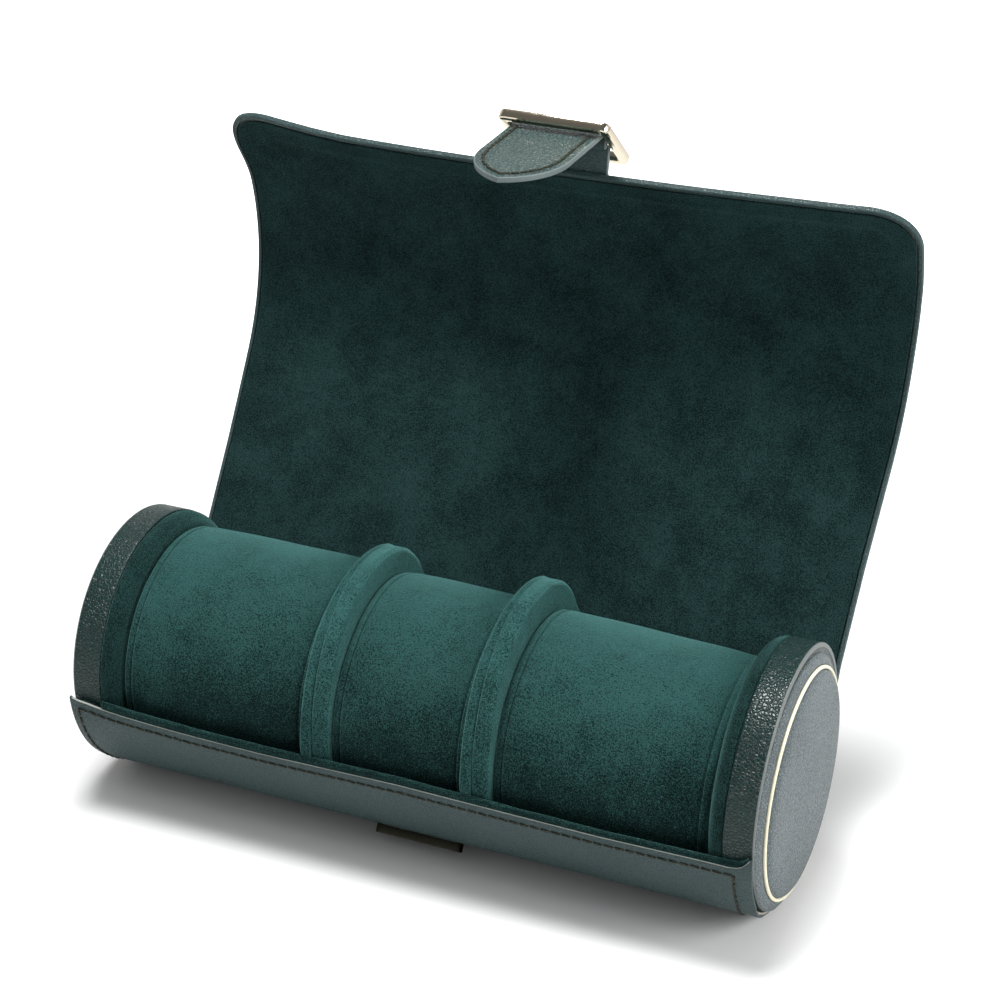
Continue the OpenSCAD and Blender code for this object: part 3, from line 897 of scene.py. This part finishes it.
# radius of each part's rim by angle, because they stand above the roll between the cushions
MAIN_RIM = ((0, 49.4), (20, 48.6), (38, 48.4), (47, 50.3), (61, 52.4), (78, 53.8), (94, 54.3),
            (106, 54.2), (118, 53.7), (130, 53.0), (144, 51.6), (159, 50.3), (174, 49.7),
            (190, 49.8), (270, 49.7), (360, 49.4))
SIDE_RIM = ((0, 49.4), (20, 49.0), (45, 52.2), (60, 52.9), (74, 52.2), (88, 51.5), (118, 51.4),
            (131, 51.6), (145, 51.0), (159, 50.5), (174, 50.6), (183, 51.4), (195, 50.2),
            (205, 49.7), (270, 49.7), (360, 49.4))


def shape_divider(bm, x, rim):
    """Scales a divider's part to its rim and shifts it to its place."""
    angles, radii = zip(*rim)
    for vert in bm.verts:
        angle = math.degrees(math.atan2(vert.co.z, vert.co.y)) % 360
        scale = float(np.interp(angle, angles, radii)) / DIVIDER_R
        vert.co = (vert.co.x + x, vert.co.y * scale, vert.co.z * scale)
    return bm


def make_dividers():
    """Two padded parts each, that meet in a sunk seam left of the middle."""
    r, left, seam, right = DIVIDER_R, DIVIDER_LEFT, DIVIDER_SEAM, DIVIDER_RIGHT
    main = ([(0, seam + 0.05), (r - 2.0, seam + 0.05)] + arc(r - 1.2, seam + 1.25, 1.2, -90, 0, 5)
            + [(r + 0.1, seam + 2.6), (r + 0.1, right - 2.2)]
            + arc(r - 1.6, right - 1.7, 1.7, 0, 90, 6)
            + [(r - 8, right), (30, right), (0, right)])
    side = ([(0, left), (30, left), (r - 6, left)] + arc(r - 1.5, left + 1.5, 1.5, -90, 0, 6)
            + arc(r - 1.2, seam - 0.95, 0.9, 0, 90, 4) + [(r - 3, seam - 0.05), (0, seam - 0.05)])
    for name, sign in SIDES:
        for part, points, rim in (("main_pad", main, MAIN_RIM), ("side_pad", side, SIDE_RIM)):
            bm = shape_divider(lathe(points, 144), sign * DIVIDER_X, rim)
            piece = finish_piece(f"{name}_divider_{part}_cover", bm, [LIT_DIVIDER_SUEDE],
                                 60)
            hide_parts(f"{name}_divider_{part}")
            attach(piece, "case")
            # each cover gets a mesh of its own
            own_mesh(piece)


make_dividers()


# ------ cushions

# a side cushion's two ends, counted outwards
SIDE_X0 = 40
SIDE_X1 = 118
SEAM_IN = 3.0
CROWN_STEPS = 16


def cushion_points(crown, half):
    """Half outline of a cushion: a low crown, one seam near each end, drawn-in ends."""
    end_r = crown - 0.7
    seam = half - SEAM_IN
    side = [(0, half), (end_r - 8, half)] + arc(end_r - 1.5, half - 1.5, 1.5, 90, 0, 5)
    side += [(end_r + 0.05, seam + 0.7), (end_r - 0.15, seam + 0.3), (end_r - 1.15, seam),
             (end_r - 0.1, seam - 0.35), (end_r + 0.15, seam - 0.9)]
    first, foot = seam - 1.6, end_r + 0.25
    places = [first * math.cos(math.pi * n / (2 * CROWN_STEPS)) for n in range(CROWN_STEPS + 1)]
    middle = [(foot + (crown - foot) * (1 - abs(x / first) ** 2.6), x) for x in places]
    right = side + middle
    left = [(radius, -x) for radius, x in reversed(right[:-1])]
    return right + left


def settle(bm, half, sink, tilt, seed):
    """Puckers a cushion at its seams, lets it swell unevenly, and lays it in its place."""
    for vert in bm.verts:
        x = vert.co.x
        radial = Vector((0, vert.co.y, vert.co.z))
        if radial.length > 20:
            radial.normalize()
            turn = math.atan2(vert.co.z, vert.co.y)
            swell = 0.4 * noise.noise([c * 0.045 for c in vert.co])
            from_seam = abs(abs(x) - half + SEAM_IN)
            pucker = 0.22 * math.exp(-from_seam / 3.5) * noise.noise(
                (math.cos(turn) * 7, math.sin(turn) * 7, seed + math.copysign(3, x)))
            vert.co += radial * (swell + pucker)
        vert.co.y += sink[0]
        vert.co.z += sink[1] + tilt * x / half


def make_cushions():
    """Three crowned suede cushions, each a little lower than the one to its left."""
    before = DIVIDER_X + DIVIDER_LEFT - 0.2
    after = DIVIDER_RIGHT + 0.3
    # sink is how far it lies to the back and up, and tilt how much more at its right end
    for seed, (name, start, end, crown, sink, tilt) in enumerate((
            ("left", -SIDE_X1, -SIDE_X0, 46.0, (0, -0.6), 0),
            ("middle", after - DIVIDER_X, before, 46.0, (-0.8, -1.8), -0.4),
            ("right", after + DIVIDER_X, SIDE_X1, 45.2, (-0.6, -3.9), -1.4))):
        half = (end - start) / 2
        bm = lathe(cushion_points(crown, half), 200)
        settle(bm, half, sink, tilt, seed)
        bmesh.ops.translate(bm, verts=bm.verts, vec=((start + end) / 2, 0, 0))
        piece = finish_piece(f"{name}_cushion_pillow", bm, [GREEN_SUEDE], 60)
        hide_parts(f"{name}_cushion_cover", f"{name}_cushion_core",
                    f"{name}_cushion_ends")
        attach(piece, f"{name}_cushion")


make_cushions()


# ------ keeper

KEEPER_TURN = math.radians(235)


def make_keeper():
    """A flat metal loop on the front of the tray, its slot narrowing downwards."""
    width, height, thick, gap, post = 35.0, 3.7, 2.4, 1.15, 1.2
    bm = bmesh.new()
    inner, outer = SKIN_R + gap, SKIN_R + gap + thick
    parts = [((0, 0, (inner + outer) / 2), (width, height, thick))]
    for side in (-1, 1):
        parts.append(((side * (width - post) / 2, 0, (SKIN_R - 1 + outer) / 2),
                      (post, height, outer - SKIN_R + 1)))
    for centre, size in parts:
        bmesh.ops.create_cube(bm, size=1, matrix=Matrix.Translation(centre)
                              @ Matrix.Diagonal((*size, 1)))
    round_off(bm, bm.edges[:], 0.2, 2)
    # Z of the drawing points out from the roll, Y along its round and up the front
    for vert in bm.verts:
        if vert.co.y < 0 and SKIN_R < vert.co.z < inner + 0.5:
            vert.co.z -= gap - 0.15
    bmesh.ops.scale(bm, vec=(1, -1, 1), verts=bm.verts)
    bmesh.ops.rotate(bm, verts=bm.verts, cent=(0, 0, 0),
                     matrix=Matrix.Rotation(KEEPER_TURN - math.pi / 2, 3, "X"))
    bmesh.ops.recalc_face_normals(bm, faces=bm.faces)
    piece = finish_piece("keeper_loop", bm, [SHADED_KEEPER_METAL], 30)
    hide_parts("keeper_bar")
    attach(piece, "case")


make_keeper()


# ------ strap, buckle and tongue

BAR = Vector((0, 108.7, 190.2))
BUCKLE_W, BUCKLE_H, BUCKLE_T = 45, 34, 4
BUCKLE_TURN = math.radians(139)
# width of the frame's short sides and of its long ones
BUCKLE_SIDE, BUCKLE_LONG = 3.5, 4.5
BAR_R = 1.25
STRAP_W = 36
TONGUE_T, TONGUE_ARC = 2.2, 27
TONGUE_RISE, TONGUE_FROM, TONGUE_TO, TONGUE_BEND = 4.8, 1.5, -65.3, -39.7
TONGUE_BLEND = 6
SEAM_INSET, SEAM_FROM = 3.3, 13
CHAPE_T, CHAPE_SEWN = 2.0, 30
CHAPE_LOOP = (math.radians(-8), math.radians(215))
STRAP_COLUMNS = (-9, 0, 9)


def to_buckle(bm):
    """Turns a drawing round the bar into the buckle's place."""
    bmesh.ops.transform(bm, verts=bm.verts, matrix=Matrix.Translation(BAR)
                        @ Matrix.Rotation(BUCKLE_TURN, 4, "X"))
    return bm


def make_buckle():
    """A rectangular frame with bevelled edges, and the bar that the strap goes round."""
    bm = bmesh.new()
    half = Vector((BUCKLE_W / 2, BUCKLE_H / 2))
    window = half - Vector((BUCKLE_SIDE, BUCKLE_LONG))
    outer = [bm.verts.new((x * half.x, y * half.y, -BUCKLE_T / 2))
             for x, y in ((-1, -1), (1, -1), (1, 1), (-1, 1))]
    face = bm.faces.new(outer)
    bmesh.ops.inset_region(bm, faces=[face], thickness=3, use_boundary=True)
    for vert in face.verts:
        vert.co.x = math.copysign(window.x, vert.co.x)
        vert.co.y = math.copysign(window.y, vert.co.y)
    bmesh.ops.delete(bm, geom=[face], context="FACES_ONLY")
    thicken(bm, BUCKLE_T)
    upright = [edge for edge in bm.edges if drop(edge) > 1]
    outside = [edge for edge in upright if abs(edge.verts[0].co.x) > window.x + 1]
    inside = [edge for edge in upright if edge not in outside]
    round_off(bm, outside, 3.2, 7)
    round_off(bm, [edge for edge in inside if edge.is_valid], 0.8, 3)
    rims = [edge for edge in bm.edges if drop(edge) < 0.01 and len(edge.link_faces) == 2
            and abs(edge.calc_face_angle(0)) > math.radians(60)]
    round_off(bm, rims, 1.0, 3)
    piece = finish_piece("buckle_rim", to_buckle(bm), [PALE_GOLD], 25)
    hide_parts("buckle_frame")
    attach(piece, "buckle")

    bm = bmesh.new()
    bmesh.ops.create_cone(bm, cap_ends=True, segments=32, radius1=BAR_R, radius2=BAR_R,
                          depth=BUCKLE_W - 1, matrix=Matrix.Rotation(math.pi / 2, 4, "Y"))
    round_off(bm, [edge for edge in bm.edges if drop(edge, 0) < 0.01], 0.25, 2)
    piece = finish_piece("buckle_pin", to_buckle(bm), [PALE_GOLD], 35)
    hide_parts("buckle_bar")
    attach(piece, "buckle")


make_buckle()


def bend_strap(bm, line):
    """Bends a flat strap to its line."""
    flat = bm.verts.layers.float_vector.new("flat")
    for vert in bm.verts:
        x, s, depth = vert.co
        vert[flat] = vert.co * MM
        y, z = line.at(s, depth)
        vert.co = (x, y, z)
    return bm


def pointed(length, inset, first, steps):
    """The tongue's outline, a point between two arcs, or a line that lies in from it."""
    half, ring = STRAP_W / 2, TONGUE_ARC - inset
    off = TONGUE_ARC - half
    shoulder = length - math.sqrt(TONGUE_ARC**2 - off**2)
    right = [(half - inset, first), (half - inset, shoulder)] + [
        (-off + ring * math.cos(a), shoulder + ring * math.sin(a))
        for a in np.linspace(0, math.acos(off / ring), steps)[1:]]
    return right + [(-x, s) for x, s in reversed(right[:-1])]


def strap_sheet(outline, thick):
    """A flat strap with painted edges."""
    bm = bmesh.new()
    face = bm.faces.new([bm.verts.new((x, s, 0)) for x, s in outline])
    bm.normal_update()
    if face.normal.z < 0:
        bmesh.ops.reverse_faces(bm, faces=bm.faces)
    thicken(bm, thick)
    for face in bm.faces:
        face.material_index = int(abs(face.normal.z) < 0.5)
    round_off(bm, level_edges(bm), 0.45, 3, material=1)
    return bm


def make_tongue():
    """The strap that passes through the buckle and ends in a point."""
    top = BAR.z + TONGUE_RISE + TONGUE_T / 2
    start, end = BAR.y + TONGUE_FROM, BAR.y + TONGUE_TO
    # depth runs downwards from the top face, because the line runs forward
    spots = [(start - n, top) for n in range(int(start - end) + 1)] + [(end, top)]
    line = Section(measured(spots, 0.0, 1))
    length = start - end
    bm = strap_sheet(pointed(length, 0, 0, 12), TONGUE_T)
    cut_flat(bm, [2.0 * n for n in range(1, int(length / 2))], STRAP_COLUMNS)
    bend_strap(bm, line)
    piece = finish_piece("strap_tongue", bm, [STRAP_LEATHER, EDGE_PAINT], 24)
    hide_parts("tongue_root", "tongue_tip")
    joint, level = BAR.y + TONGUE_BEND, (top - TONGUE_T / 2 + AXIS_H) * MM
    zone = {"start": (0, (joint + TONGUE_BLEND) * MM, level),
            "end": (0, (joint - TONGUE_BLEND) * MM, level)}
    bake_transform(piece)

    seam = pointed(length, SEAM_INSET, SEAM_FROM, 5)
    bm = bend_strap(sew(seam, 3.7, -0.15, length=2.6, width=1.25, height=1.2), line)
    piece = finish_piece("tongue_stitches", bm, [OLIVE_THREAD], 60)
    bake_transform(piece)


make_tongue()


def make_chape():
    """The strap's end, sewn on the outside of the flap and looped round the bar."""
    loop, half = BAR_R + 0.06 + CHAPE_T, STRAP_W / 2
    rows = [FLAP_END - CHAPE_SEWN + n for n in range(CHAPE_SEWN)]
    spots = [WRAP.at(s, -CHAPE_T) for s in rows]
    # from the flap's edge round the back and over the top of the bar to the front
    spots += [(BAR.y + loop * math.cos(a), BAR.z + loop * math.sin(a))
              for a in np.linspace(*CHAPE_LOOP, 30)]
    line = Section(measured(spots, 0.0, 1))
    length = float(line.end)
    bm = strap_sheet([(half, 0), (half, length), (-half, length), (-half, 0)], CHAPE_T)
    cut_flat(bm, [1.0 * n for n in range(1, int(length))], STRAP_COLUMNS)
    bend_strap(bm, line)
    piece = finish_piece("strap_loop", bm, [SHEET_LEATHER, EDGE_PAINT], 50)
    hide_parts("strap_chape")
    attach(piece, "flap_6")


make_chape()


# ------ CAD pieces that stay

STAYING = {"board": GREYBOARD, "wood_core": WOOD, "foam": FOAM}
slots = {part["node"]: part["material_slot"] for part in frame["record"]["subparts"]}
for node, piece in frame["nodes"].items():
    material = STAYING.get(slots[node])
    if material:
        piece.data.materials.clear()
        piece.data.materials.append(material)


# ------ studio

CAMERA_AT = (0.35087, -0.76907, 0.57761)
CAMERA_RIGHT, CAMERA_UP, CAMERA_BACK = (
    (0.9185, 0.3953, 0), (-0.1826, 0.4242, 0.8870), (0.35067, -0.81473, 0.46179))
# the floor's tone as a light and for the camera
FLOOR_TONES = (0.8, 1.02)
# distances from the roll between which the floor turns white for the camera
WHITENS = (0.28, 0.6)
# the sky's strength as a light, in reflections behind the roll, and in all other reflections
SKY_LIGHT, REFLECTED_BACK, REFLECTED_REST = 0.31, 0.6, 0.12
BEHIND, OVERHEAD = (-0.25, 0.35), (0.3, 0.75)
# place, aim, size and power of each lamp
LAMPS = {"top_softbox": ((-0.12, 0.08, 1.5), (0, 0, 0.05), (0.65, 0.45), 23),
         "side_softbox": ((1.3, -0.1, 0.7), (0.1, 0, 0.05), (0.7, 0.7), 13)}


def make_floor():
    """A pale floor that turns white where no shadow falls."""
    bm = bmesh.new()
    bmesh.ops.create_grid(bm, x_segments=2, y_segments=2, size=4)
    mesh = bpy.data.meshes.new("floor")
    bm.to_mesh(mesh)
    bm.free()
    floor = put("floor", mesh)
    paint = Finish("white_floor")
    far = paint.vector("LENGTH", paint.place, out="Value")
    matt, bright = (paint.node("ShaderNodeBsdfDiffuse", {}, {"Color": (tone,) * 3})
                    for tone in FLOOR_TONES)
    glow = paint.node("ShaderNodeEmission", {}, {"Color": (1, 1, 1),
                                                 "Strength": far.within(*WHITENS)})
    both = paint.node("ShaderNodeAddShader", {}, [bright, glow])
    shader = paint.node("ShaderNodeMixShader", {}, [paint.ray("Camera"), matt, both])
    paint.tree.links.new(shader.socket, paint.output.inputs["Surface"])
    mesh.materials.append(paint.material)


class Sky(Finish):
    """The world's nodes, by direction."""

    def __init__(self, world):
        world.use_nodes = True
        self.tree = world.node_tree
        self.tree.nodes.clear()
        self.output = self.tree.nodes.new("ShaderNodeOutputWorld")
        self.place = self.node("ShaderNodeTexCoord", {}, {}, "Generated")


def make_world():
    """White for the camera and dimmer as a light. In reflections it is light behind the roll
    and dark overhead and in front."""
    world = bpy.data.worlds.new("studio")
    bpy.context.scene.world = world
    sky = Sky(world)
    glossy = sky.ray("Glossy")
    back, high = sky.along("Y").within(*BEHIND), sky.along("Z").within(*OVERHEAD)
    wall = back * (1 - high) * REFLECTED_BACK + REFLECTED_REST
    white = sky.ray("Camera").math("MAXIMUM", sky.ray("Transmission"))
    strength = white + (1 - white) * (glossy * wall + (1 - glossy) * SKY_LIGHT)
    shader = sky.node("ShaderNodeBackground", {}, {"Color": (1, 1, 1), "Strength": strength})
    sky.tree.links.new(shader.socket, sky.output.inputs["Surface"])


def add_lamp(name, spot, aim, size, power):
    """A soft flat lamp turned towards a point."""
    lamp = bpy.data.lights.new(name, "AREA")
    lamp.shape = "RECTANGLE"
    lamp.size, lamp.size_y = size
    lamp.energy = power
    holder = put(name, lamp)
    holder.location = spot
    direction = Vector(aim) - Vector(spot)
    holder.rotation_euler = direction.to_track_quat("-Z", "Y").to_euler()


def add_camera():
    """The photo's camera, found from the rims of both ends."""
    camera = bpy.data.cameras.new("photo_camera")
    camera.lens = 93.33
    camera.sensor_width = 36
    camera.clip_start, camera.clip_end = 0.05, 20
    holder = put("photo_camera", camera)
    turn = Matrix((CAMERA_RIGHT, CAMERA_UP, CAMERA_BACK)).transposed()
    holder.matrix_world = Matrix.Translation(CAMERA_AT) @ turn.to_4x4()
    bpy.context.scene.camera = holder


make_floor()
make_world()
add_camera()
for lamp_name, setup in LAMPS.items():
    add_lamp(lamp_name, *setup)
bpy.context.scene.view_settings.view_transform = "Standard"
